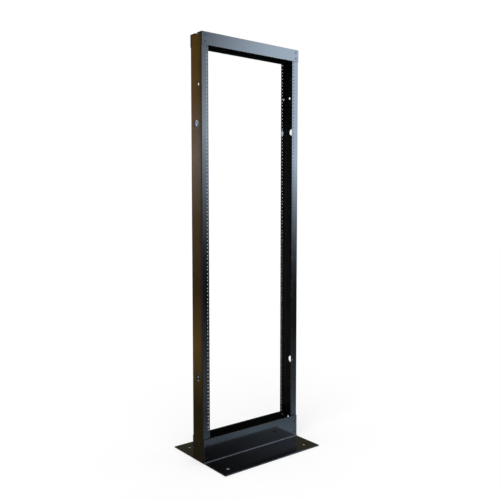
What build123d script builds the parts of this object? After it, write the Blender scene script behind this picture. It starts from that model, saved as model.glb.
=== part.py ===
"""Two post open frame rack: two steel channels tied by steel angles at the top and at the foot.

Millimetres, +Z up. The origin is on the floor in the middle of the base. X runs across the rack
and the front, with the lower Y, is the side that the panels are screwed to.
"""

import os

from build123d import *

os.makedirs("parts", exist_ok=True)

# Mounting holes of the 19 inch panel standard: three to a unit, in two lines near the free edges
unit_height = 44.45
unit_count = 36
hole_rises = (6.35, 22.225, 38.1)
hole_line_spacing = 465.1
hole_to_free_edge = 7.55
mounting_hole_diameter = 4.5

# Rolled sections: square outside, with a fillet inside
outer_corner = 0.8

# Uprights: channels with the web outside and both flanges turned inwards
channel_depth = 76.2
flange_width = 33.0
upright_gauge = 3.2
upright_fillet = 1.6

# Holes in the webs, set out from the middle of the rack's height or from the floor
cable_hole_diameter = 28.6
cable_hole_rise = 520.7
side_hole_diameter = 11.1
side_hole_rise = 673.1
side_hole_from_floor = 78.0
side_hole_offset = 14.3

# Top angles: one leg down over the flanges, the other inwards over the ends of the uprights
top_leg = 50.8
top_cover = 35.0
top_gauge = 3.2
top_fillet = 1.6
top_screw_spacing = 25.4

# Base angles: one leg up against the flanges, the other flat on the floor
base_leg = 101.6
base_reach = 152.4
base_gauge = 4.8
base_fillet = 4.8
base_end_inset = 1.0
base_screw_spacing = 50.8
anchor_hole_diameter = 17.5
anchor_hole_edge = 47.6

# Countersunk socket screws, flush in the angles, and the flanged nuts that clamp them to the flanges
shank_diameter = 6.0
shank_clearance = 0.3
shank_tip = 0.6
head_diameter = 11.6
head_rim = 0.2
head_sink = 0.1
socket_width = 4.0
socket_depth = 2.0
nut_width = 10.0
nut_height = 6.0
nut_flange_diameter = 14.2
nut_flange_height = 1.3
nut_chamfer = 0.5
thread_gap = 0.05
screw_end = 1.6

# Sizes and places that follow from the ones above
cut_margin = 5.0
clear_opening = hole_line_spacing - 2 * hole_to_free_edge
overall_width = clear_opening + 2 * flange_width
overall_height = base_leg + unit_count * unit_height + top_leg
upright_height = overall_height - top_gauge - top_fillet
middle_height = overall_height / 2
flange_face = channel_depth / 2
web_face = overall_width / 2
base_length = overall_width - 2 * base_end_inset
fastener_x = web_face - flange_width / 2
clearance_hole = shank_diameter / 2 + shank_clearance
countersink = head_diameter / 2 + head_sink + head_rim
top_screw_heights = (
    overall_height - top_leg / 2 - top_screw_spacing / 2,
    overall_height - top_leg / 2 + top_screw_spacing / 2,
)
base_screw_heights = (
    base_leg / 2 - base_screw_spacing / 2,
    base_leg / 2 + base_screw_spacing / 2,
)
front_cut = Plane.XZ.offset(-flange_face - cut_margin)

# Left upright: a channel profile drawn out along the height, open towards the other upright
with BuildPart() as left_upright:
    with BuildSketch() as channel:
        with Locations((-web_face, 0)):
            Rectangle(flange_width, channel_depth, align=(Align.MIN, Align.CENTER))
        fillet(channel.vertices().group_by(Axis.X)[0], outer_corner)
        with BuildSketch(mode=Mode.SUBTRACT) as hollow:
            with Locations((-web_face + upright_gauge, 0)):
                Rectangle(
                    flange_width,
                    channel_depth - 2 * upright_gauge,
                    align=(Align.MIN, Align.CENTER),
                )
            fillet(hollow.vertices().group_by(Axis.X)[0], upright_fillet)
    extrude(amount=upright_height)

    # Mounting holes go through the front and the rear flange in line
    with BuildSketch(front_cut):
        for unit in range(unit_count):
            unit_base = base_leg + unit * unit_height
            with Locations(*[(-hole_line_spacing / 2, unit_base + rise) for rise in hole_rises]):
                Circle(mounting_hole_diameter / 2)
    extrude(amount=channel_depth + 2 * cut_margin, mode=Mode.SUBTRACT)

    # Clearance holes for the screws of the top and base angles
    with BuildSketch(front_cut):
        with Locations(*[(-fastener_x, rise) for rise in top_screw_heights + base_screw_heights]):
            Circle(clearance_hole)
    extrude(amount=channel_depth + 2 * cut_margin, mode=Mode.SUBTRACT)

    # Two large cable holes on the web's middle line and two small ones beside it
    with BuildSketch(Plane.YZ.offset(-web_face - cut_margin)):
        with Locations((0, middle_height + cable_hole_rise), (0, middle_height - cable_hole_rise)):
            Circle(cable_hole_diameter / 2)
        with Locations(
            (-side_hole_offset, middle_height + side_hole_rise),
            (-side_hole_offset, side_hole_from_floor),
        ):
            Circle(side_hole_diameter / 2)
    extrude(amount=upright_gauge + 2 * cut_margin, mode=Mode.SUBTRACT)

# Right upright: the same channel, turned half a turn about the vertical
with BuildPart() as right_upright:
    add(left_upright.part, rotation=(0, 0, 180))

# Front top angle: the long leg hangs in front of the flanges, the short one covers their ends.
# In the profile's own axes X is the depth and Y the height, and its corner is at the upper left.
with BuildPart() as front_top_angle:
    with BuildSketch(Plane.YZ.offset(-web_face)) as top_profile:
        with Locations((-flange_face - top_gauge, overall_height)):
            Rectangle(top_cover, top_leg, align=(Align.MIN, Align.MAX))
        fillet(top_profile.vertices().group_by(Axis.Y)[-1].sort_by(Axis.X)[0], outer_corner)
        with BuildSketch(Plane.YZ.offset(-web_face), mode=Mode.SUBTRACT) as top_inside:
            with Locations((-flange_face, overall_height - top_gauge)):
                Rectangle(top_cover, top_leg, align=(Align.MIN, Align.MAX))
            fillet(top_inside.vertices().group_by(Axis.Y)[-1].sort_by(Axis.X)[0], top_fillet)
    extrude(amount=overall_width)
    with Locations(Plane.XZ.offset(flange_face + top_gauge)):
        with Locations(
            *[(side * fastener_x, rise) for side in (-1, 1) for rise in top_screw_heights]
        ):
            CounterSinkHole(clearance_hole, countersink, top_gauge + cut_margin, 90)

# Rear top angle: the front one turned half a turn about the vertical
with BuildPart() as rear_top_angle:
    add(front_top_angle.part, rotation=(0, 0, 180))

# Front base angle: the upright leg stands against the flanges, the wide one lies on the floor.
# The corner is at the lower right of the profile.
with BuildPart() as front_base_angle:
    with BuildSketch(Plane.YZ.offset(-base_length / 2)) as base_profile:
        with Locations((-flange_face, 0)):
            Rectangle(base_reach, base_leg, align=(Align.MAX, Align.MIN))
        fillet(base_profile.vertices().group_by(Axis.Y)[0].sort_by(Axis.X)[-1], outer_corner)
        with BuildSketch(Plane.YZ.offset(-base_length / 2), mode=Mode.SUBTRACT) as base_inside:
            with Locations((-flange_face - base_gauge, base_gauge)):
                Rectangle(base_reach, base_leg, align=(Align.MAX, Align.MIN))
            fillet(base_inside.vertices().group_by(Axis.Y)[0].sort_by(Axis.X)[-1], base_fillet)
    extrude(amount=base_length)
    with Locations(Plane.XZ.offset(flange_face + base_gauge)):
        with Locations(
            *[(side * fastener_x, rise) for side in (-1, 1) for rise in base_screw_heights]
        ):
            CounterSinkHole(clearance_hole, countersink, base_gauge + cut_margin, 90)

    # Anchor holes through the floor leg, as far from its ends as from its front edge
    with BuildSketch(Plane.XY.offset(-cut_margin)):
        with Locations((0, -flange_face - base_reach + anchor_hole_edge)):
            with GridLocations(base_length - 2 * anchor_hole_edge, 0, 2, 1):
                Circle(anchor_hole_diameter / 2)
    extrude(amount=base_gauge + 2 * cut_margin, mode=Mode.SUBTRACT)

# Rear base angle: the front one turned half a turn about the vertical
with BuildPart() as rear_base_angle:
    add(front_base_angle.part, rotation=(0, 0, 180))

uprights_and_angles = {
    "left_upright": left_upright,
    "right_upright": right_upright,
    "front_top_angle": front_top_angle,
    "rear_top_angle": rear_top_angle,
    "front_base_angle": front_base_angle,
    "rear_base_angle": rear_base_angle,
}


def countersunk_screw(grip):
    """Countersunk screw along Y: the angle's outer face is at the origin and the shank points to +Y."""
    length = grip + nut_height + screw_end
    head_radius = head_diameter / 2
    shank_radius = shank_diameter / 2
    with BuildPart() as screw:
        with BuildSketch(Plane.XY):
            with BuildLine():
                Polyline(
                    (0, head_sink),
                    (head_radius, head_sink),
                    (head_radius, head_sink + head_rim),
                    (shank_radius, head_sink + head_rim + head_radius - shank_radius),
                    (shank_radius, length - shank_tip),
                    (shank_radius - shank_tip, length),
                    (0, length),
                    close=True,
                )
            make_face()
        revolve(axis=Axis.Y)
        with BuildSketch(Plane.XZ.offset(-head_sink - socket_depth)):
            RegularPolygon(socket_width / 2, 6, major_radius=False)
        extrude(amount=socket_depth + cut_margin, mode=Mode.SUBTRACT)
    return screw.part


def flanged_nut():
    """Hexagon nut along Y with its round flange's seat at the origin and its hexagon to +Y."""
    with BuildPart() as nut:
        with BuildSketch(Plane.XZ):
            Circle(nut_flange_diameter / 2)
        extrude(amount=-nut_flange_height)
        with BuildSketch(Plane.XZ.offset(-nut_flange_height)):
            RegularPolygon(nut_width / 2, 6, major_radius=False)
        extrude(amount=nut_flange_height - nut_height)
        chamfer(nut.faces().sort_by(Axis.Y)[-1].edges(), nut_chamfer)
        with BuildSketch(Plane.XZ.offset(cut_margin)):
            Circle(shank_diameter / 2 + thread_gap)
        extrude(amount=-nut_height - 2 * cut_margin, mode=Mode.SUBTRACT)
    return nut.part


# Screws and nuts of the four corners at the top and at the foot
screws_and_nuts = {}
corners = {"front_left": (-1, 0), "front_right": (1, 0), "rear_left": (1, 180), "rear_right": (-1, 180)}
joints_at = {"top": (top_gauge, top_screw_heights), "base": (base_gauge, base_screw_heights)}
for level, (angle_gauge, heights) in joints_at.items():
    screw_part = countersunk_screw(angle_gauge + upright_gauge)
    nut_part = flanged_nut()
    screw_face = -flange_face - angle_gauge
    nut_seat = -flange_face + upright_gauge
    for corner, (side, turn) in corners.items():
        for kind, fastener, seat in (("bolts", screw_part, screw_face), ("nuts", nut_part, nut_seat)):
            with BuildPart() as pair:
                with Locations(*[(side * fastener_x, seat, height) for height in heights]):
                    add(fastener)
            with BuildPart() as turned_pair:
                add(pair.part, rotation=(0, 0, turn))
            screws_and_nuts[f"{level}_{corner}_{kind}"] = turned_pair

for node, piece in (uprights_and_angles | screws_and_nuts).items():
    piece.part.label = node
    export_step(piece.part, f"parts/{node}.step")
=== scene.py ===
"""Looks of a two post open frame rack: black steel channels and angles, countersunk screws and nuts.

Sizes are in millimetres, as on a maker's drawing, until a mesh is made, and the studio's are in metres.
X runs across the rack, the front is towards -Y, +Z is up, and the origin is on the floor in the middle
of the base.
"""

import bpy
import numpy as np
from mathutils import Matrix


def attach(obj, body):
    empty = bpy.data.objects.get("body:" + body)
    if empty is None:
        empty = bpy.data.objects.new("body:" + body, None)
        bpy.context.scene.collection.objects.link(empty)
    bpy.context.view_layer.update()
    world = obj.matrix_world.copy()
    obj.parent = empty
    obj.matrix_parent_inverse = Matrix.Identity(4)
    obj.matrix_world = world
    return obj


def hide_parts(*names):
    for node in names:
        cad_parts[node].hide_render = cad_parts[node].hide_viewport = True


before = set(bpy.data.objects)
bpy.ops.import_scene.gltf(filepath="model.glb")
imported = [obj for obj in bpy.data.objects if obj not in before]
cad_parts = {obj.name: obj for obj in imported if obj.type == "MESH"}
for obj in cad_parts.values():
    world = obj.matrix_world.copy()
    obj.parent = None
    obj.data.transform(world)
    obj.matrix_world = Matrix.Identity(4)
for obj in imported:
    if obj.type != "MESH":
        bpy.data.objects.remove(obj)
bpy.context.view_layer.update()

# Uprights. Each is a rolled steel channel, square outside and filleted inside, with its web outermost.
# Its panel holes are drilled and tapped, and its cut edges are broken before it is powder coated gloss
# black. A hole has a radius, and its room is the least that its block of cells reaches from its middle.
METRE = 1000.0
ROUND_OFF = 1e-6
UNIT = 44.45
UNIT_COUNT = 36
HOLE_RISES = np.array([6.35, 22.225, 38.1])
BASE_LEG = 101.6
TOP_LEG = 50.8
RACK_HEIGHT = BASE_LEG + UNIT_COUNT * UNIT + TOP_LEG
RACK_WIDTH = 516.0
CHANNEL_DEPTH = 76.2
FLANGE_WIDTH = 33.0
UPRIGHT_GAUGE = 3.2
UPRIGHT_FILLET = 1.6
UPRIGHT_END_GAP = 4.8
UPRIGHT_HEIGHT = RACK_HEIGHT - UPRIGHT_END_GAP
OUTER_CORNER = 0.8
EDGE_ROUND = 0.5
EDGE_STEPS = 3
BROKEN_EDGE = 0.3
CREASE = 35.0
PANEL_HOLE = 2.25
PANEL_HOLE_ROOM = 4.6
PANEL_HOLE_TO_EDGE = 7.55
SCREW_HOLE = 3.3
SCREW_HOLE_ROOM = 4.35
SCREW_HOLE_LINES = 4.8
SCREW_LINE = FLANGE_WIDTH / 2
BASE_SCREW_HEIGHTS = np.array([25.4, 76.2])
TOP_SCREW_HEIGHTS = RACK_HEIGHT - TOP_LEG / 2 + np.array([-12.7, 12.7])
CABLE_HOLE = 14.3
CABLE_HOLE_ROOM = 17.3
CABLE_HOLE_RISE = 520.7
SIDE_HOLE = 5.55
SIDE_HOLE_ROOM = 7.55
SIDE_HOLE_RISE = 673.1
SIDE_HOLE_HEIGHT = 78.0
SIDE_HOLE_OFFSET = 14.3
MOTTLE = 90.0
SPECK_SPACING = 1.5
RUBBED_PLACE = 30.0
PEEL_RIPPLE = 2.5
TAP_PITCH = 1.06
GRIME = 1.1
WORN_DULLNESS = 0.22


def add_node(tree, kind, feeds=(), stops=(), **settings):
    """Adds one node with its settings and its ramp's stops.

    A feed is a socket's number or name with a value, a node whose first output feeds it, or an output
    socket. In a mix of colours, sockets 0, 6 and 7 are its factor and its two colours, and output 2 is
    what it gives.
    """
    made = tree.nodes.new(kind)
    for name, value in settings.items():
        setattr(made, name, value)
    for socket, value in dict(feeds).items():
        if isinstance(value, bpy.types.Node):
            value = value.outputs[0]
        if isinstance(value, bpy.types.NodeSocket):
            tree.links.new(value, made.inputs[socket])
        else:
            made.inputs[socket].default_value = value
    for number, (place, code) in enumerate(stops):
        elements = made.color_ramp.elements
        element = elements[number] if number < 2 else elements.new(place)
        element.position = place
        element.color = colour(code)
    return made


def colour(code):
    """An sRGB hex colour as linear red, green, blue and alpha."""
    part = np.array([int(code[k : k + 2], 16) for k in (1, 3, 5)]) / 255
    linear = np.where(part <= 0.04045, part / 12.92, ((part + 0.055) / 1.055) ** 2.4)
    return (*linear.tolist(), 1.0)


def start_finish(name):
    """A material with its node tree, its shader, and the coordinates that its patterns follow."""
    material = bpy.data.materials.new(name)
    material.use_nodes = True
    tree = material.node_tree
    place = add_node(tree, "ShaderNodeTexCoord").outputs["Object"]
    return material, tree, tree.nodes["Principled BSDF"], place


def powder_coat(name, glossiest, dullest, specular):
    """Black polyester powder coat on mild steel, sprayed and baked, between two roughnesses.

    It gives the eye a near-black body under clear, slightly rippled reflections: the ripple is the
    orange peel of a film that flowed out. The film draws back from sharp edges, so those turn greyer
    and duller, and little powder reaches into the holes, where the coat is thin, dry and matt.
    """
    material, tree, shader, place = start_finish(name)

    # Mottle, where the coat lies a little thicker or thinner
    mottle_feeds = {"Vector": place, "Scale": METRE / MOTTLE, "Detail": 3.0}
    mottle = add_node(tree, "ShaderNodeTexNoise", mottle_feeds)
    # Specks of dust and lint baked into the film
    speck_feeds = {"Vector": place, "Scale": METRE / SPECK_SPACING, "Detail": 1.0}
    speck = add_node(tree, "ShaderNodeTexNoise", speck_feeds)
    specks = add_node(tree, "ShaderNodeMapRange", {"Value": speck, "From Min": 0.70, "From Max": 0.78})
    # Rubbed places, from handling and shipping
    rubbed_feeds = {"Vector": place, "Scale": METRE / RUBBED_PLACE, "Detail": 6.0, "Roughness": 0.68}
    rubbed = add_node(tree, "ShaderNodeTexNoise", rubbed_feeds)
    edge = add_node(tree, "ShaderNodeAttribute", attribute_name="cut_edge").outputs["Fac"]
    worn = add_node(tree, "ShaderNodeMath", {0: edge, 1: rubbed}, operation="MULTIPLY")
    worn = add_node(tree, "ShaderNodeMapRange", {"Value": worn, "From Min": 0.34, "From Max": 0.66})

    film = add_node(tree, "ShaderNodeValToRGB", {0: mottle}, ((0.3, "#090a0b"), (0.7, "#0f1012")))
    greyed = {0: worn, 6: film, 7: colour("#26272a")}
    body = add_node(tree, "ShaderNodeMix", greyed, data_type="RGBA").outputs[2]
    dusted = {0: specks, 6: body, 7: colour("#1d1c1a")}
    body = add_node(tree, "ShaderNodeMix", dusted, data_type="RGBA").outputs[2]
    tree.links.new(body, shader.inputs["Base Color"])

    gloss_range = {"Value": rubbed, "From Min": 0.35, "From Max": 0.75}
    gloss_range |= {"To Min": glossiest, "To Max": dullest}
    gloss = add_node(tree, "ShaderNodeMapRange", gloss_range)
    dulled = {0: worn, 1: WORN_DULLNESS, 2: gloss}
    gloss = add_node(tree, "ShaderNodeMath", dulled, operation="MULTIPLY_ADD")
    tree.links.new(gloss.outputs[0], shader.inputs["Roughness"])
    shader.inputs["IOR"].default_value = 1.5
    shader.inputs["Specular IOR Level"].default_value = specular

    # Orange peel, in ripples a few microns high
    peel_feeds = {"Vector": place, "Scale": METRE / PEEL_RIPPLE, "Detail": 1.5}
    peel = add_node(tree, "ShaderNodeTexNoise", peel_feeds)
    relief = add_node(tree, "ShaderNodeBump", {"Strength": 0.4, "Distance": 0.00001, "Height": peel})
    bumps = {"Strength": 0.6, "Distance": 0.00004, "Height": specks, "Normal": relief}
    relief = add_node(tree, "ShaderNodeBump", bumps)
    tree.links.new(relief.outputs[0], shader.inputs["Normal"])
    return material


def tapped_thread():
    """Thread cut through the coat by a machine tap: oiled steel in the shade of its hole.

    The eye sees dull, nearly black rings, since what light enters the grooves of this thread, 24 to the
    inch, is lost between their sides. So it is drawn dark and without gloss. The texture draws 20 rings
    in 2 pi at a scale of 1, so a scale of 2 pi / 20 draws one ring a metre.
    """
    material, tree, shader, place = start_finish("tapped_oiled_steel_thread")
    groove_scale = METRE / TAP_PITCH * 2 * np.pi / 20
    groove_feeds = {"Vector": place, "Scale": groove_scale, "Distortion": 0.0}
    grooves = add_node(
        tree, "ShaderNodeTexWave", groove_feeds, bands_direction="Y", wave_profile="TRI"
    ).outputs["Fac"]
    grime_feeds = {"Vector": place, "Scale": METRE / GRIME, "Detail": 2.0}
    grime = add_node(tree, "ShaderNodeTexNoise", grime_feeds)
    steel = add_node(tree, "ShaderNodeValToRGB", {0: grime}, ((0.35, "#131211"), (0.75, "#252320")))
    shade = add_node(tree, "ShaderNodeValToRGB", {0: grooves}, ((0.0, "#050505"), (0.6, "#ffffff")))
    shaded = {0: 1.0, 6: steel, 7: shade}
    body = add_node(tree, "ShaderNodeMix", shaded, data_type="RGBA", blend_type="MULTIPLY").outputs[2]
    tree.links.new(body, shader.inputs["Base Color"])
    dull = add_node(tree, "ShaderNodeMapRange", {"Value": grooves, "To Min": 0.9, "To Max": 0.6})
    tree.links.new(dull.outputs[0], shader.inputs["Roughness"])
    shader.inputs["Specular IOR Level"].default_value = 0.12
    relief = add_node(tree, "ShaderNodeBump", {"Strength": 1.0, "Distance": 0.0005, "Height": grooves})
    tree.links.new(relief.outputs[0], shader.inputs["Normal"])
    return material


def section(s, w, start, heading, flats, gauge, fillet):
    """Where a point of a rolled section's developed strip goes.

    The line of half thickness leaves start along heading, runs straight for each of the flats, and
    turns a quarter clockwise between two flats. A point lies s along it and w out from it, on the
    outside of the corners. Seen from the middle of a corner's fillet, the inner face is at the fillet's
    radius and the outer face at (fillet + gauge) / (|cos a|^p + |sin a|^p)^(1/p), which is a square
    corner with its last 0.8 mm rounded, and the points between share out the difference.
    """
    s, w = np.broadcast_arrays(np.asarray(s, float), np.asarray(w, float))
    at = np.array(start, float)
    angle = np.radians(heading)
    spot = np.empty(s.shape + (2,))
    radius = fillet + gauge / 2
    reach = fillet + gauge
    power = np.log(2) / -np.log(1 - (1 - np.sqrt(0.5)) * OUTER_CORNER / reach)
    share = np.clip(w / gauge + 0.5, 0, 1)
    begun = 0.0
    for number, flat in enumerate(flats):
        along = np.array([np.cos(angle), np.sin(angle)])
        out = np.array([-along[1], along[0]])
        here = s >= begun - ROUND_OFF
        spot[here] = (at + (s - begun)[..., None] * along + w[..., None] * out)[here]
        begun += flat
        at = at + flat * along
        if number < len(flats) - 1:
            centre = at - radius * out
            turn = np.clip((s - begun) / radius, 0, np.pi / 2)
            ray = np.cos(turn)[..., None] * out + np.sin(turn)[..., None] * along
            square = reach / (np.cos(turn) ** power + np.sin(turn) ** power) ** (1 / power)
            here = s >= begun - ROUND_OFF
            spot[here] = (centre + (fillet + share * (square - fillet))[..., None] * ray)[here]
            begun += radius * np.pi / 2
            angle -= np.pi / 2
            at = centre + radius * along
    return spot


def quads_between(loops):
    """Quads between neighbouring loops of point numbers, each of which closes on itself."""
    loops = np.stack(loops)
    ahead = np.roll(loops, -1, axis=1)
    return np.stack([loops[:-1], ahead[:-1], ahead[1:], loops[1:]], axis=-1).reshape(-1, 4)


def border_of(block):
    """Point numbers round a block of the grid, each of them once."""
    return np.concatenate([block[0, :-1], block[:-1, -1], block[-1, :0:-1], block[:0:-1, 0]])


def lines_round(lines, middle, room):
    """Numbers of the last line up to middle - room and of the first line from middle + room."""
    first = np.searchsorted(lines, middle - room + ROUND_OFF, side="right") - 1
    last = np.searchsorted(lines, middle + room - ROUND_OFF)
    return first, last


def add_ring(flat_points, s, z, depth):
    """Adds a ring of points at one depth, and gives their numbers."""
    begun = sum(len(points) for points in flat_points)
    flat_points.append(np.column_stack([s, z, np.full(len(s), depth)]))
    return begun + np.arange(len(s))


def drilled_section(across, along, gauge, holes, fold):
    """Points, coated, plain bore and tapped bore faces, and cut-edge marks of a drilled section.

    Across and along are the grid's lines on the developed strip, which stop short of its edges by the
    rounding. The grid is laid twice, half a gauge out and half a gauge in. A hole (s, z, radius, room,
    outer, inner) takes the block of cells round it, and rings join that block's border to circles:
    radius + outer on the outer face, radius below that cone of 45 degrees, and the same at the inner
    face, with a quarter of each circle for each side of the block. Round the strip's border the rings
    follow inset = e (1 - sin a), depth = e (1 - cos a), for the edge rounding e.
    """
    half = gauge / 2
    s, z = np.meshgrid(across, along, indexing="ij")
    grid = np.arange(s.size).reshape(s.shape)
    outer_face = np.stack([s.ravel(), z.ravel(), np.full(s.size, half)], 1)
    flat_points = [outer_face, outer_face * [1, 1, -1]]
    kept = np.ones((len(across) - 1, len(along) - 1), bool)
    faces, tapped_faces, plain_faces, marked = [], [], [], []

    # Holes, each from its block's border on the outer face down its bore to the one on the inner face
    for hole_s, hole_z, radius, room, outer, inner in holes:
        first_s, last_s = lines_round(across, hole_s, room)
        first_z, last_z = lines_round(along, hole_z, room)
        kept[first_s:last_s, first_z:last_z] = False
        border = border_of(grid[first_s : last_s + 1, first_z : last_z + 1])
        counts = (last_z - first_z, last_s - first_s) * 2
        angle = np.concatenate(
            [-135 + 90 * side + 90 * np.arange(count) / count for side, count in enumerate(counts)]
        )
        ray_s, ray_z = np.sin(np.radians(angle)), np.cos(np.radians(angle))
        bore = (
            (radius + outer, half),
            (radius, half - outer),
            (radius, inner - half),
            (radius + inner, -half),
        )
        loops = [border]
        for size, depth in bore:
            loops.append(add_ring(flat_points, hole_s + size * ray_s, hole_z + size * ray_z, depth))
        loops.append(border + s.size)
        faces += [quads_between(loops[0:3]), quads_between(loops[3:6])]
        (tapped_faces if radius == PANEL_HOLE else plain_faces).append(quads_between(loops[2:4]))
        marked.append(np.concatenate(loops[1:5]))

    # Cells that no hole takes, on both faces
    cells = np.stack([grid[:-1, :-1], grid[:-1, 1:], grid[1:, 1:], grid[1:, :-1]], axis=-1)[kept]
    faces += [cells, (cells + s.size)[:, ::-1]]

    # Rounded edges, from the outer face to the inner one
    border = border_of(grid)
    edge_s, edge_z = s.ravel()[border], z.ravel()[border]
    out_s = np.isclose(edge_s, across[-1]) * 1.0 - np.isclose(edge_s, across[0])
    out_z = np.isclose(edge_z, along[-1]) * 1.0 - np.isclose(edge_z, along[0])
    turn = np.linspace(0, np.pi / 2, EDGE_STEPS + 1)[1:]
    loops = [border]
    for face, steps in ((1, turn), (-1, turn[::-1])):
        for step in steps:
            out = EDGE_ROUND * np.sin(step)
            depth = face * (half - EDGE_ROUND * (1 - np.cos(step)))
            loops.append(add_ring(flat_points, edge_s + out * out_s, edge_z + out * out_z, depth))
    loops.append(border + s.size)
    faces.append(quads_between(loops)[:, ::-1])
    marked.append(np.concatenate(loops))

    flat_points = np.concatenate(flat_points)
    marks = np.zeros(len(flat_points))
    marks[np.concatenate(marked)] = 1.0
    profile = fold(flat_points[:, 0], flat_points[:, 2])
    points = np.column_stack([profile, flat_points[:, 1]])
    none = np.empty((0, 4), int)
    face_sets = [np.concatenate([none, *each]) for each in (faces, plain_faces, tapped_faces)]
    return points, face_sets, marks


def make_piece(name, node, points, face_sets, materials, marks=None):
    """Makes a mesh of quads (millimetres) that stands for a CAD node, a material for each set of faces.

    Corners of a quad that share a number make it a triangle. Edges sharper than the crease stay sharp,
    and normals are weighted by area, so that flats stay flat beside their rounded edges.
    """
    faces = np.concatenate(face_sets)
    points = np.round(points, 4)
    points, first, merged = np.unique(points, axis=0, return_index=True, return_inverse=True)
    used, faces = np.unique(merged.ravel()[faces], return_inverse=True)
    faces = faces.reshape(-1, 4)
    points = points[used] / METRE
    fresh = faces != np.roll(faces, 1, axis=1)
    corners = fresh.sum(axis=1)
    mesh = bpy.data.meshes.new(name)
    mesh.vertices.add(len(points))
    mesh.vertices.foreach_set("co", points.ravel())
    mesh.loops.add(int(corners.sum()))
    mesh.loops.foreach_set("vertex_index", faces[fresh].astype(np.int32))
    mesh.polygons.add(len(faces))
    mesh.polygons.foreach_set("loop_start", (np.cumsum(corners) - corners).astype(np.int32))
    numbers = np.repeat(np.arange(len(face_sets)), [len(quads) for quads in face_sets])
    for material in materials:
        mesh.materials.append(material)
    mesh.polygons.foreach_set("material_index", numbers.astype(np.int32))
    mesh.polygons.foreach_set("use_smooth", np.ones(len(faces), bool))
    if marks is not None:
        cut_edge = mesh.attributes.new("cut_edge", "FLOAT", "POINT")
        cut_edge.data.foreach_set("value", marks[first[used]].astype(np.float32))
    mesh.update(calc_edges=True)
    mesh.validate()
    mesh.set_sharp_from_angle(angle=np.radians(CREASE))
    piece = bpy.data.objects.new(name, mesh)
    bpy.context.collection.objects.link(piece)
    weighted = piece.modifiers.new("flat faces stay flat", "WEIGHTED_NORMAL")
    weighted.keep_sharp = True
    weighted.weight = 80
    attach(piece, "root")
    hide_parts(node)


def corner_strip(gauge, fillet):
    """How much of the strip a corner takes: a quarter turn of the line of half thickness."""
    return (fillet + gauge / 2) * np.pi / 2


def lines_through(middle, room, count):
    """Grid lines of a hole's cells: middle + room t, for t from -1 to 1."""
    return middle + np.linspace(-1, 1, count) * room


def grid_lines(*parts):
    """Grid lines in rising order, from single places and arrays of places."""
    return np.sort(np.concatenate([np.ravel(part) for part in parts]))


def holes_at(s_places, z_places, radius, room, outer=BROKEN_EDGE, inner=BROKEN_EDGE):
    """Holes of one kind, one for each place across with each place along."""
    return [(s, z, radius, room, outer, inner) for s in s_places for z in z_places]


half_turn = np.array([-1.0, -1.0, 1.0])
section_finishes = (
    powder_coat("gloss_black_powder_coat", glossiest=0.08, dullest=0.15, specular=0.5),
    powder_coat("thin_matt_black_coat_in_holes", glossiest=0.7, dullest=0.85, specular=0.1),
    tapped_thread(),
)


def make_two_alike(names, ending, drilled, axes):
    """Makes a drilled section's two pieces: one as it is and one turned half a turn about the vertical.

    The axes give, for X, Y and Z, which of the profile's two directions or the length, 2, lies along it.
    """
    points, face_sets, marks = drilled
    for name, turn in zip(names, (1.0, half_turn)):
        turned = points[:, axes] * turn
        make_piece(f"{name}_{ending}", name, turned, face_sets, section_finishes, marks)


flange_flat = FLANGE_WIDTH - UPRIGHT_GAUGE - UPRIGHT_FILLET
web_flat = CHANNEL_DEPTH - 2 * (UPRIGHT_GAUGE + UPRIGHT_FILLET)
corner_length = corner_strip(UPRIGHT_GAUGE, UPRIGHT_FILLET)
web_start = flange_flat + corner_length
web_end = web_start + web_flat
blank_width = 2 * flange_flat + 2 * corner_length + web_flat

# Shares of a corner's length where its grid lines lie, close together round the square outside
CORNER_STEPS = np.array([0, 0.22, 0.38, 0.44, 0.47, 0.5, 0.53, 0.56, 0.62, 0.78])
flange_lines = grid_lines(
    EDGE_ROUND,
    lines_through(PANEL_HOLE_TO_EDGE, PANEL_HOLE_ROOM, 5),
    lines_through(SCREW_LINE, SCREW_HOLE_ROOM, 5)[1:],
)
upright_across = grid_lines(
    flange_lines,
    flange_flat + corner_length * CORNER_STEPS,
    np.linspace(web_start, web_end, 17)[:-1],
    web_end + corner_length * CORNER_STEPS,
    blank_width - flange_flat,
    blank_width - flange_lines,
)

# Between the angles each panel hole has its own lines, up to halfway to the next hole
panel_heights = (BASE_LEG + UNIT * np.arange(UNIT_COUNT)[:, None] + HOLE_RISES).ravel()
panel_borders = grid_lines(
    BASE_LEG, (panel_heights[:-1] + panel_heights[1:]) / 2, RACK_HEIGHT - TOP_LEG
)
# At the foot there are more, of which the ones at 68.2 and 87.2 bound the small side hole's cells
FOOT_LINES = np.array([10.0, 40.0, 53.0, 68.2, 83.4, 87.2, 93.0])
screw_heights = np.concatenate([BASE_SCREW_HEIGHTS, TOP_SCREW_HEIGHTS])
upright_along = grid_lines(
    EDGE_ROUND,
    FOOT_LINES,
    panel_borders,
    (panel_borders[:-1] + panel_heights) / 2,
    panel_heights,
    (panel_heights + panel_borders[1:]) / 2,
    lines_through(screw_heights[:, None], SCREW_HOLE_LINES, 5),
    RACK_HEIGHT - TOP_LEG / 2,
    UPRIGHT_HEIGHT - EDGE_ROUND,
)

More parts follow.
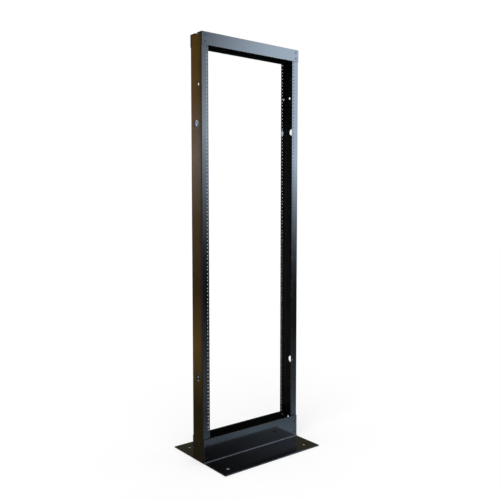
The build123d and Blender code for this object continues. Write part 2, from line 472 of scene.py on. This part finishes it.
panel_hole_s = (PANEL_HOLE_TO_EDGE, blank_width - PANEL_HOLE_TO_EDGE)
screw_hole_s = (SCREW_LINE, blank_width - SCREW_LINE)
middle_height = RACK_HEIGHT / 2
cable_heights = (middle_height - CABLE_HOLE_RISE, middle_height + CABLE_HOLE_RISE)
side_hole_s = blank_width / 2 - SIDE_HOLE_OFFSET
side_heights = (middle_height + SIDE_HOLE_RISE, SIDE_HOLE_HEIGHT)
upright_holes = [
    *holes_at(panel_hole_s, panel_heights, PANEL_HOLE, PANEL_HOLE_ROOM),
    *holes_at(screw_hole_s, screw_heights, SCREW_HOLE, SCREW_HOLE_ROOM),
    *holes_at((blank_width / 2,), cable_heights, CABLE_HOLE, CABLE_HOLE_ROOM),
    *holes_at((side_hole_s,), side_heights, SIDE_HOLE, SIDE_HOLE_ROOM),
]


def channel_profile(s, w):
    """The channel in plan, from the front flange's free edge to the rear flange's."""
    start = (FLANGE_WIDTH - RACK_WIDTH / 2, (UPRIGHT_GAUGE - CHANNEL_DEPTH) / 2)
    return section(s, w, start, 180, (flange_flat, web_flat, flange_flat), UPRIGHT_GAUGE, UPRIGHT_FILLET)


channel = drilled_section(upright_across, upright_along, UPRIGHT_GAUGE, upright_holes, channel_profile)
make_two_alike(("left_upright", "right_upright"), "channel", channel, axes=(0, 1, 2))

# Top angles. One leg of this rolled steel angle hangs over the flanges and is screwed to them, and the
# other covers the ends of the uprights. It is sawn to length, drilled, countersunk and powder coated.
TOP_COVER = 35.0
TOP_GAUGE = 3.2
TOP_FILLET = 1.6
COUNTERSINK = 2.8
COUNTERSINK_ROOM = 7.0
THIN_BROKEN_EDGE = 0.1
FASTENER_X = RACK_WIDTH / 2 - FLANGE_WIDTH / 2
TOP_MIDDLE_LINES = np.linspace(-228, 228, 17)

top_leg_flat = TOP_LEG - TOP_GAUGE - TOP_FILLET
top_cover_flat = TOP_COVER - TOP_GAUGE - TOP_FILLET
top_corner_length = corner_strip(TOP_GAUGE, TOP_FILLET)
top_corner_end = top_leg_flat + top_corner_length
top_width = top_corner_end + top_cover_flat
top_hole_s = TOP_SCREW_HEIGHTS - (RACK_HEIGHT - TOP_LEG)
fastener_places = np.array([-FASTENER_X, FASTENER_X])
top_across = grid_lines(
    EDGE_ROUND,
    lines_through(top_hole_s[:, None], COUNTERSINK_ROOM, 7),
    TOP_LEG / 2,
    top_leg_flat + top_corner_length * CORNER_STEPS,
    top_corner_end,
    top_corner_end + top_cover_flat / 2,
    top_width - EDGE_ROUND,
)
top_along = grid_lines(
    EDGE_ROUND - RACK_WIDTH / 2,
    lines_through(fastener_places[:, None], COUNTERSINK_ROOM, 7),
    TOP_MIDDLE_LINES,
    RACK_WIDTH / 2 - EDGE_ROUND,
)
top_holes = holes_at(
    top_hole_s, fastener_places, SCREW_HOLE, COUNTERSINK_ROOM, outer=COUNTERSINK, inner=THIN_BROKEN_EDGE
)


def top_profile(s, w):
    """The top angle's profile in depth and height, from the hanging leg's lower edge."""
    start = (-(CHANNEL_DEPTH + TOP_GAUGE) / 2, RACK_HEIGHT - TOP_LEG)
    return section(s, w, start, 90, (top_leg_flat, top_cover_flat), TOP_GAUGE, TOP_FILLET)


top_angle = drilled_section(top_across, top_along, TOP_GAUGE, top_holes, top_profile)
make_two_alike(("front_top_angle", "rear_top_angle"), "section", top_angle, axes=(2, 0, 1))

# Base angles. A rolled steel angle of unequal legs, 4.8 mm thick with a 4.8 mm fillet: the upright leg is
# screwed to the flanges and the wide leg lies on the floor, with a hole near each end for an anchor bolt.
BASE_REACH = 152.4
BASE_GAUGE = 4.8
BASE_FILLET = 4.8
BASE_LENGTH = 514.0
ANCHOR_HOLE = 8.75
ANCHOR_HOLE_ROOM = 11.75
ANCHOR_HOLE_TO_EDGE = 47.6
LEG_MIDDLE_LINES = np.linspace(40, 62, 3)
FLOOR_LINES_GAP = 14.75
FRONT_LINE = 24.0
BASE_END_LINES = np.array([-229.0, 229.0])
BASE_MIDDLE_LINES = np.linspace(-186, 186, 13)

base_leg_flat = BASE_LEG - BASE_GAUGE - BASE_FILLET
base_floor_flat = BASE_REACH - BASE_GAUGE - BASE_FILLET
base_corner_length = corner_strip(BASE_GAUGE, BASE_FILLET)
base_corner_end = base_leg_flat + base_corner_length
base_width = base_corner_end + base_floor_flat
base_hole_s = BASE_LEG - BASE_SCREW_HEIGHTS
anchor_s = base_width - ANCHOR_HOLE_TO_EDGE
anchor_x = BASE_LENGTH / 2 - ANCHOR_HOLE_TO_EDGE
anchor_places = np.array([-anchor_x, anchor_x])
base_across = grid_lines(
    EDGE_ROUND,
    lines_through(base_hole_s[:, None], COUNTERSINK_ROOM, 7),
    LEG_MIDDLE_LINES,
    base_leg_flat + base_corner_length * CORNER_STEPS,
    np.linspace(base_corner_end, anchor_s - FLOOR_LINES_GAP, 7)[:-1],
    lines_through(anchor_s, ANCHOR_HOLE_ROOM, 7),
    base_width - FRONT_LINE,
    base_width - EDGE_ROUND,
)
base_along = grid_lines(
    EDGE_ROUND - BASE_LENGTH / 2,
    lines_through(fastener_places[:, None], COUNTERSINK_ROOM, 7),
    BASE_END_LINES,
    lines_through(anchor_places[:, None], ANCHOR_HOLE_ROOM, 7),
    BASE_MIDDLE_LINES,
    BASE_LENGTH / 2 - EDGE_ROUND,
)
base_holes = [
    *holes_at((anchor_s,), anchor_places, ANCHOR_HOLE, ANCHOR_HOLE_ROOM),
    *holes_at(base_hole_s, fastener_places, SCREW_HOLE, COUNTERSINK_ROOM, inner=COUNTERSINK),
]


def base_profile(s, w):
    """The base angle's profile in depth and height, from the upright leg's top edge to the front edge."""
    start = (-(CHANNEL_DEPTH + BASE_GAUGE) / 2, BASE_LEG)
    return section(s, w, start, 270, (base_leg_flat, base_floor_flat), BASE_GAUGE, BASE_FILLET)


base_angle = drilled_section(base_across, base_along, BASE_GAUGE, base_holes, base_profile)
make_two_alike(("front_base_angle", "rear_base_angle"), "section", base_angle, axes=(2, 0, 1))

# Screws. M6 countersunk socket screws of alloy steel, cold headed, with a broached hexagon socket and a
# rolled thread of 1 mm pitch, blackened in hot oxide and oiled. Two sit flush in each end of each angle.
HEAD_RADIUS = 5.8
HEAD_RIM = 0.2
HEAD_SINK = 0.1
EASED_EDGE = 0.12
SOCKET_WIDTH = 4.0
SOCKET_DEPTH = 2.0
DRILL_POINT = 0.5
SHANK_RADIUS = 3.0
SHANK_TIP = 0.6
THREAD_PITCH = 1.0
THREAD_DEPTH = 0.5
SCREW_END = 1.6
SCREW_STEPS = 36
NUT_HEIGHT = 6.0
TWIST_OF_NEXT = 137.5
TWIST_OF_SIDE = 61.0
TWIST_OF_SEAT = 23.0
OXIDE_PATCH = 2.4
GRAIN = 0.4


def black_oxide():
    """Hot black oxide on alloy steel, wiped with oil: a dark satin metal, a little bare in places."""
    material, tree, shader, place = start_finish("black_oxide_alloy_steel")
    oxide_feeds = {"Vector": place, "Scale": METRE / OXIDE_PATCH, "Detail": 4.0}
    oxide = add_node(tree, "ShaderNodeTexNoise", oxide_feeds)
    tones = ((0.3, "#2b2c2f"), (0.6, "#3a3b3e"), (0.8, "#4d4b48"))
    tint = add_node(tree, "ShaderNodeValToRGB", {0: oxide}, tones)
    tree.links.new(tint.outputs[0], shader.inputs["Base Color"])
    satin_range = {"Value": oxide, "From Min": 0.3, "From Max": 0.8, "To Min": 0.2, "To Max": 0.34}
    satin = add_node(tree, "ShaderNodeMapRange", satin_range)
    tree.links.new(satin.outputs[0], shader.inputs["Roughness"])
    shader.inputs["Metallic"].default_value = 1.0
    # Fine grain of the cold-headed surface, drawn at 0.4 mm so that it shows
    grain = add_node(tree, "ShaderNodeTexNoise", {"Vector": place, "Scale": METRE / GRAIN, "Detail": 2.0})
    relief = add_node(tree, "ShaderNodeBump", {"Strength": 0.3, "Distance": 0.00003, "Height": grain})
    tree.links.new(relief.outputs[0], shader.inputs["Normal"])
    return material


def hexagon(angle, width):
    """Distance from the middle to a hexagon's side: half its width over the cosine of the angle off it."""
    return width / 2 / np.cos(np.mod(angle, np.pi / 3) - np.pi / 6)


def thread_radius(angle, height, radius, pitch, depth):
    """A helical V thread: radius less depth times a triangle wave of turn and height, with flat ends."""
    phase = height / pitch - angle / (2 * np.pi)
    wave = np.abs(2 * (phase - np.floor(phase)) - 1)
    return radius - depth * np.clip(1.25 * wave - 0.1, 0, 1)


def turned_shape(rings, angle, closed):
    """Points (r cos a, height, r sin a) of rings, each a radius and a height, and the quads between them.

    Both may be one for the whole ring or one for each angle. A closed shape's last ring meets its first.
    """
    radius, height = (np.stack([ring[k] + 0 * angle for ring in rings]) for k in (0, 1))
    points = np.stack([radius * np.cos(angle), height, radius * np.sin(angle)], axis=-1).reshape(-1, 3)
    loops = np.arange(radius.size).reshape(radius.shape)
    if closed:
        loops = np.vstack([loops, loops[:1]])
    return points, quads_between(loops)[:, [0, 3, 2, 1]]


def countersunk_screw(grip):
    """A screw along +Y from the floor of its socket, over the flat head and down the thread.

    The angle's face is at the origin. From the socket's edge to the rim each ring is
    hexagon + (rim - hexagon) u, for u from 0 to 1, and the cone of 45 degrees below the rim loses as much
    radius as it gains depth.
    """
    angle = np.arange(SCREW_STEPS) * 2 * np.pi / SCREW_STEPS
    socket = hexagon(angle, SOCKET_WIDTH)
    socket_floor = HEAD_SINK + SOCKET_DEPTH
    u = np.linspace(0, 1, 4)[:, None]
    flat_head = (socket + EASED_EDGE) * (1 - u) + (HEAD_RADIUS - EASED_EDGE) * u
    cone_end = HEAD_SINK + HEAD_RIM + HEAD_RADIUS - SHANK_RADIUS
    length = grip + NUT_HEIGHT + SCREW_END
    thread_y = np.arange(cone_end + 0.4, length - 0.5, THREAD_PITCH / 6)[:, None]
    thread_r = thread_radius(angle, thread_y, SHANK_RADIUS, THREAD_PITCH, THREAD_DEPTH)
    rings = [
        (0.0, socket_floor + DRILL_POINT),
        (socket * 0.8, socket_floor),
        (socket, socket_floor - 0.1),
        (socket, HEAD_SINK + EASED_EDGE),
        *[(ring, HEAD_SINK) for ring in flat_head],
        (HEAD_RADIUS - 0.03, HEAD_SINK + 0.03),
        (HEAD_RADIUS, HEAD_SINK + 0.1),
        (HEAD_RADIUS, HEAD_SINK + HEAD_RIM),
        (SHANK_RADIUS, cone_end),
        *zip(thread_r, thread_y),
        (np.minimum(thread_r[-1], SHANK_RADIUS - SHANK_TIP), length),
        (0.0, length),
    ]
    return turned_shape(rings, angle, closed=False)


blackened = black_oxide()
ends = {
    "front_left": (-1, 1.0),
    "front_right": (1, 1.0),
    "rear_left": (1, half_turn),
    "rear_right": (-1, half_turn),
}
levels = {"top": (TOP_GAUGE, TOP_SCREW_HEIGHTS), "base": (BASE_GAUGE, BASE_SCREW_HEIGHTS)}


def fit_fasteners(level, heights, shape, seat, kind, node):
    """Makes a level's four pieces of two like fasteners.

    The driver leaves each at an angle of its own, which follows from its number, side and seat.
    """
    points, faces = shape
    for end, (side, turn) in ends.items():
        both = []
        for number, height in enumerate(heights):
            twist = TWIST_OF_NEXT * (number + 1) + TWIST_OF_SIDE * side + TWIST_OF_SEAT * seat
            twist = np.radians(twist)
            x = points[:, 0] * np.cos(twist) + points[:, 2] * np.sin(twist)
            z = points[:, 2] * np.cos(twist) - points[:, 0] * np.sin(twist)
            both.append(np.column_stack([x + side * FASTENER_X, points[:, 1] + seat, z + height]))
        both = np.concatenate(both) * turn
        both_faces = np.concatenate([faces, faces + len(points)])
        place = f"{level}_{end}"
        make_piece(f"{place}_{kind}", f"{place}_{node}", both, (both_faces,), (blackened,))


for level, (gauge, heights) in levels.items():
    screw = countersunk_screw(gauge + UPRIGHT_GAUGE)
    screw_seat = -CHANNEL_DEPTH / 2 - gauge
    fit_fasteners(level, heights, screw, screw_seat, "countersunk_screws", "bolts")

# Nuts. M6 flanged hexagon nuts, cold formed in steel and blackened like the screws, drawn up inside the
# channels behind each screw.
NUT_WIDTH = 10.0
NUT_FLANGE = 7.1
BORE_RADIUS = 3.02
BORE_THREAD_DEPTH = 0.25
NUT_STEPS = 48


def flanged_nut():
    """A nut along +Y, from the bore over the seat and flange, up the hexagon and down the bore.

    The hexagon's corners are cut by a 30 degree cone, so its sides end lower where they stand further
    out, and its own corners are drawn in to 98.5% as the dies leave them.
    """
    angle = np.arange(NUT_STEPS) * 2 * np.pi / NUT_STEPS
    sides = np.minimum(hexagon(angle, NUT_WIDTH), NUT_WIDTH / np.sqrt(3) * 0.985)
    cone_start = NUT_WIDTH / 2 * 0.95
    side_top = NUT_HEIGHT - (sides - cone_start) * np.tan(np.pi / 6)
    groove = BORE_RADIUS + BORE_THREAD_DEPTH
    thread_y = np.arange(NUT_HEIGHT - 0.6, 0.5, -THREAD_PITCH / 4)[:, None]
    thread_r = groove - thread_radius(
        angle, thread_y, BORE_THREAD_DEPTH, THREAD_PITCH, BORE_THREAD_DEPTH
    )
    rings = [
        (BORE_RADIUS + 0.5, 0.0),
        (NUT_FLANGE - 0.3, 0.0),
        (NUT_FLANGE - 0.08, 0.1),
        (NUT_FLANGE, 0.3),
        (NUT_FLANGE, 0.9),
        (NUT_FLANGE - 0.08, 1.15),
        (NUT_FLANGE - 0.3, 1.3),
        (sides * 0.9 + NUT_FLANGE * 0.08, 1.5),
        (sides, 1.8),
        (sides, side_top),
        (cone_start, NUT_HEIGHT),
        (BORE_RADIUS + 0.5, NUT_HEIGHT),
        (groove, NUT_HEIGHT - 0.4),
        *zip(thread_r, thread_y),
        (groove, 0.4),
    ]
    return turned_shape(rings, angle, closed=True)


nut = flanged_nut()
nut_seat = UPRIGHT_GAUGE - CHANNEL_DEPTH / 2
for level, (_, heights) in levels.items():
    fit_fasteners(level, heights, nut, nut_seat, "flanged_nuts", "nuts")

# Studio. A pale floor runs into a white surround under one soft lamp, and the cards are seen only by
# reflections: a softbox, lit floor and a low board at the front right, a warm wall, black cloth and a dark
# board at the rear left, an olive wall far behind at the right, and a dim ceiling.
FLOOR_HALF = 14.0
FLOOR_DROP = 0.0004
FLOOR_GLOW = 0.33
UNDER_BASE_X = 0.25
UNDER_BASE_Y = 0.185
CARD_LIFT = 0.0012
BASE_FRONT = -(CHANNEL_DEPTH / 2 + BASE_REACH) / METRE
BASE_RIGHT = (BASE_LENGTH / 2 + EDGE_ROUND) / METRE
SOFTBOX_Y = -0.6
STUDIO_RIGHT = 1.9
CEILING = 2.6


def card(name, corners, material):
    """A flat card: its corners are first, second, second + third - first, and third."""
    first, second, third = (np.array(corner) for corner in corners)
    mesh = bpy.data.meshes.new(name)
    points = [first, second, second + third - first, third]
    mesh.from_pydata([point.tolist() for point in points], [], [(0, 1, 2, 3)])
    mesh.materials.append(material)
    made = bpy.data.objects.new(name, mesh)
    bpy.context.collection.objects.link(made)
    return made


def reflected_card(name, corners, material):
    """A card that only reflections see: it lights nothing and casts no shadow."""
    made = card(name, corners, material)
    made.visible_camera = False
    made.visible_diffuse = False
    made.visible_shadow = False
    made.visible_transmission = False


def level_corners(x_range, y_range, height):
    """Corners of a level card, from its first x and y along X and then along Y."""
    (x, far_x), (y, far_y) = x_range, y_range
    return (x, y, height), (far_x, y, height), (x, far_y, height)


def wall_corners(start, end, height):
    """Corners of an upright card that stands on the floor between two places (x, y)."""
    return (*start, 0.0), (*end, 0.0), (*start, height)


def glow(name, code, strength=1.0):
    """An emission of one colour, its tree, and the coordinates that its strength may follow."""
    material, tree, shader, place = start_finish(name)
    tree.nodes.remove(shader)
    light = add_node(tree, "ShaderNodeEmission", {"Color": colour(code), "Strength": strength})
    tree.links.new(light.outputs[0], tree.nodes["Material Output"].inputs["Surface"])
    return material, tree, light, add_node(tree, "ShaderNodeSeparateXYZ", {0: place}).outputs


def shows(tree):
    """1 for a ray that shows what it meets, from the camera or a reflection, and 0 for one that lights."""
    ray = add_node(tree, "ShaderNodeLightPath").outputs
    either = {0: ray["Is Camera Ray"], 1: ray["Is Glossy Ray"]}
    either = add_node(tree, "ShaderNodeMath", either, operation="MAXIMUM")
    any_of = {0: either, 1: ray["Is Transmission Ray"]}
    return add_node(tree, "ShaderNodeMath", any_of, operation="MAXIMUM")


# Floor: it glows where it shows, which lifts it nearly to white, but not in the shade of the base
floor_finish, tree, shader, place = start_finish("pale_studio_floor")
tree.nodes.remove(shader)
far = add_node(tree, "ShaderNodeVectorMath", {0: place}, operation="ABSOLUTE")
far = add_node(tree, "ShaderNodeSeparateXYZ", {0: far}).outputs
beyond_x = add_node(tree, "ShaderNodeMath", {0: far["X"], 1: UNDER_BASE_X}, operation="GREATER_THAN")
beyond_y = add_node(tree, "ShaderNodeMath", {0: far["Y"], 1: UNDER_BASE_Y}, operation="GREATER_THAN")
open_floor = add_node(tree, "ShaderNodeMath", {0: beyond_x, 1: beyond_y}, operation="MAXIMUM")
glowing = add_node(tree, "ShaderNodeMath", {0: shows(tree), 1: FLOOR_GLOW}, operation="MULTIPLY")
glowing = add_node(tree, "ShaderNodeMath", {0: glowing, 1: open_floor}, operation="MULTIPLY")
light = add_node(tree, "ShaderNodeEmission", {"Strength": glowing})
matt = add_node(tree, "ShaderNodeBsdfDiffuse", {"Color": colour("#d6d6d6")})
both = add_node(tree, "ShaderNodeAddShader", {0: matt, 1: light})
tree.links.new(both.outputs[0], tree.nodes["Material Output"].inputs["Surface"])
floor_range = (-FLOOR_HALF, FLOOR_HALF)
card("floor", level_corners(floor_range, floor_range, -FLOOR_DROP), floor_finish)

# Softbox: it brightens to the right, by x - 0.45 z, and upwards, by z + 0.23 x, in slanting bands, and its
# foot catches the floor's glow, which fades with z + 0.35 x
softbox, tree, light, at = glow("softbox_gradient", "#d6eaff")
slant = add_node(tree, "ShaderNodeMath", {0: at["Z"], 1: -0.45, 2: at["X"]}, operation="MULTIPLY_ADD")
side_range = {"Value": slant, "From Min": -1.055, "From Max": -0.155}
side = add_node(tree, "ShaderNodeMapRange", side_range, interpolation_type="SMOOTHSTEP")
slant = add_node(tree, "ShaderNodeMath", {0: at["X"], 1: 0.23, 2: at["Z"]}, operation="MULTIPLY_ADD")
height = add_node(tree, "ShaderNodeMapRange", {"Value": slant, "From Min": 0.63, "From Max": 1.48})
height = add_node(tree, "ShaderNodeMath", {0: height, 1: 2.6}, operation="POWER")
upper = add_node(tree, "ShaderNodeMath", {0: side, 1: height}, operation="MULTIPLY")
slant = add_node(tree, "ShaderNodeMath", {0: at["X"], 1: 0.35, 2: at["Z"]}, operation="MULTIPLY_ADD")
foot_range = {"Value": slant, "From Min": 0.22, "From Max": 0.62, "To Min": 0.74, "To Max": 0.1}
foot = add_node(tree, "ShaderNodeMapRange", foot_range)
strength = add_node(tree, "ShaderNodeMath", {0: upper, 1: 10.0, 2: foot}, operation="MULTIPLY_ADD")
tree.links.new(strength.outputs[0], light.inputs["Strength"])
softbox_corners = wall_corners((0.02, SOFTBOX_Y), (STUDIO_RIGHT, SOFTBOX_Y), 2.4)
reflected_card("softbox_front_right", softbox_corners, softbox)

# Lit floor: it brightens to the rear and the right, by 1.79 + 2.6 y + 0.5 x up to 1.5, and is a third
# brighter in a pool of light before the base's right half
lit_floor, tree, light, at = glow("floor_reflector", "#cbe5ff")
nearer = add_node(tree, "ShaderNodeMath", {0: at["Y"], 1: 2.6, 2: 1.79}, operation="MULTIPLY_ADD")
grown = add_node(tree, "ShaderNodeMath", {0: at["X"], 1: 0.5, 2: nearer}, operation="MULTIPLY_ADD")
grown = add_node(tree, "ShaderNodeMath", {0: grown, 1: 1.5}, operation="MINIMUM")
aside = add_node(tree, "ShaderNodeMath", {0: at["X"], 1: 0.165}, operation="SUBTRACT")
aside = add_node(tree, "ShaderNodeMath", {0: aside}, operation="ABSOLUTE")
pool_range = {"Value": aside, "From Max": 0.22, "To Min": 1.33, "To Max": 1.0}
pool = add_node(tree, "ShaderNodeMapRange", pool_range, interpolation_type="SMOOTHSTEP")
grown = add_node(tree, "ShaderNodeMath", {0: grown, 1: pool}, operation="MULTIPLY")
tree.links.new(grown.outputs[0], light.inputs["Strength"])
front_corners = level_corners((-0.25, STUDIO_RIGHT), (SOFTBOX_Y, BASE_FRONT), CARD_LIFT)
right_corners = level_corners((BASE_RIGHT, STUDIO_RIGHT), (BASE_FRONT, 0.8), CARD_LIFT)
reflected_card("floor_reflector_front", front_corners, lit_floor)
reflected_card("floor_reflector_right", right_corners, lit_floor)

# Low board, lit on its underside only, and more to the right: both legs of the base angle reflect it
low_board, tree, light, at = glow("low_board_underside", "#dceaff")
board_range = {"Value": at["X"], "From Min": -0.1, "From Max": 0.6, "To Max": 3.5}
grown = add_node(tree, "ShaderNodeMapRange", board_range)
tree.links.new(grown.outputs[0], light.inputs["Strength"])
top_side = add_node(tree, "ShaderNodeNewGeometry").outputs["Backfacing"]
clear = add_node(tree, "ShaderNodeBsdfTransparent")
mixed = add_node(tree, "ShaderNodeMixShader", {0: top_side, 1: light, 2: clear})
tree.links.new(mixed.outputs[0], tree.nodes["Material Output"].inputs["Surface"])
reflected_card("low_board", level_corners((-0.1, 1.1), (-0.14, SOFTBOX_Y), 0.12), low_board)

# Warm wall, leaning to the left: dark at its foot, amber at knee height and palest at chest height
warm_wall, tree, light, at = glow("warm_wall_gradient", "#ffffff", 1.6)
height = add_node(tree, "ShaderNodeMapRange", {"Value": at["Z"], "From Max": 2.0})
tones = (
    (0.08, "#5a4a20"), (0.21, "#c09650"), (0.34, "#80622e"), (0.50, "#b09060"),
    (0.65, "#ffdfc8"), (0.80, "#d0a068"), (0.92, "#bb9040"),
)
tint = add_node(tree, "ShaderNodeValToRGB", {0: height}, tones)
tree.links.new(tint.outputs[0], light.inputs["Color"])
reflected_card("warm_wall", ((-0.36, 0.12, 0.0), (-0.36, 0.40, 0.0), (-0.6002, 0.4766, 1.94)), warm_wall)

# Black cloth beyond the warm wall, and a dark board on the floor below them
black_cloth = glow("black_cloth", "#14120f")[0]
reflected_card("black_cloth", wall_corners((-1.2, -0.5), (-1.2, 6.0), 3.2), black_cloth)
dark_board = glow("dark_board", "#4a3f28", 1.6)[0]
reflected_card("dark_board", level_corners((-1.2, 0.25), (BASE_FRONT, 2.2), CARD_LIFT), dark_board)

# Olive wall far behind at the right, which the right end of the floor leg shows
olive_wall = glow("olive_wall", "#69654b")[0]
reflected_card("olive_wall", wall_corners((0.6, 4.3), (12.0, 4.3), CEILING), olive_wall)

# Dim ceiling, paler towards the right
ceiling, tree, light, at = glow("dim_ceiling", "#d8e2f0")
dim_range = {"Value": at["X"], "From Min": 2.6, "From Max": 5.2, "To Max": 0.14}
dim = add_node(tree, "ShaderNodeMapRange", dim_range)
tree.links.new(dim.outputs[0], light.inputs["Strength"])
reflected_card("ceiling", level_corners((-8.0, 8.0), (-8.0, 8.0), CEILING), ceiling)

# Soft lamp high at the front left, and a surround that shows white and lights at six tenths of that
lamp = bpy.data.objects.new("soft_lamp", bpy.data.lights.new("soft_lamp", "SUN"))
lamp.data.energy = 1.5
lamp.data.angle = np.radians(45)
lamp.rotation_euler = (np.radians(30), 0.0, np.radians(-38))
lamp.visible_glossy = False
bpy.context.collection.objects.link(lamp)

world = bpy.data.worlds.new("white_surround")
bpy.context.scene.world = world
world.use_nodes = True
tree = world.node_tree
tree.nodes.remove(tree.nodes["Background"])
fill = add_node(tree, "ShaderNodeBackground", {"Color": colour("#ffffff"), "Strength": 0.6})
white = add_node(tree, "ShaderNodeBackground", {"Color": colour("#ffffff"), "Strength": 1.0})
mixed = add_node(tree, "ShaderNodeMixShader", {0: shows(tree), 1: fill, 2: white})
tree.links.new(mixed.outputs[0], tree.nodes["World Output"].inputs["Surface"])

# Camera. It stands to the front left, at about three fifths of the rack's height, and looks slightly down:
# its place, its turn and its focal length in pixels are a pinhole camera's, fitted to the photograph.
CAMERA_PLACE = (-1.6646, -2.1325, 1.0688)
CAMERA_YAW = 38.247
CAMERA_PITCH = 4.113
FOCAL_PIXELS = 625.7
PICTURE_PIXELS = 500

camera = bpy.data.objects.new("camera", bpy.data.cameras.new("camera"))
camera.data.sensor_width = 36.0
camera.data.lens = camera.data.sensor_width * FOCAL_PIXELS / PICTURE_PIXELS
camera.location = CAMERA_PLACE
camera.rotation_euler = (np.radians(90 - CAMERA_PITCH), 0.0, -np.radians(CAMERA_YAW))
bpy.context.collection.objects.link(camera)
bpy.context.scene.camera = camera
bpy.context.scene.view_settings.view_transform = "Standard"
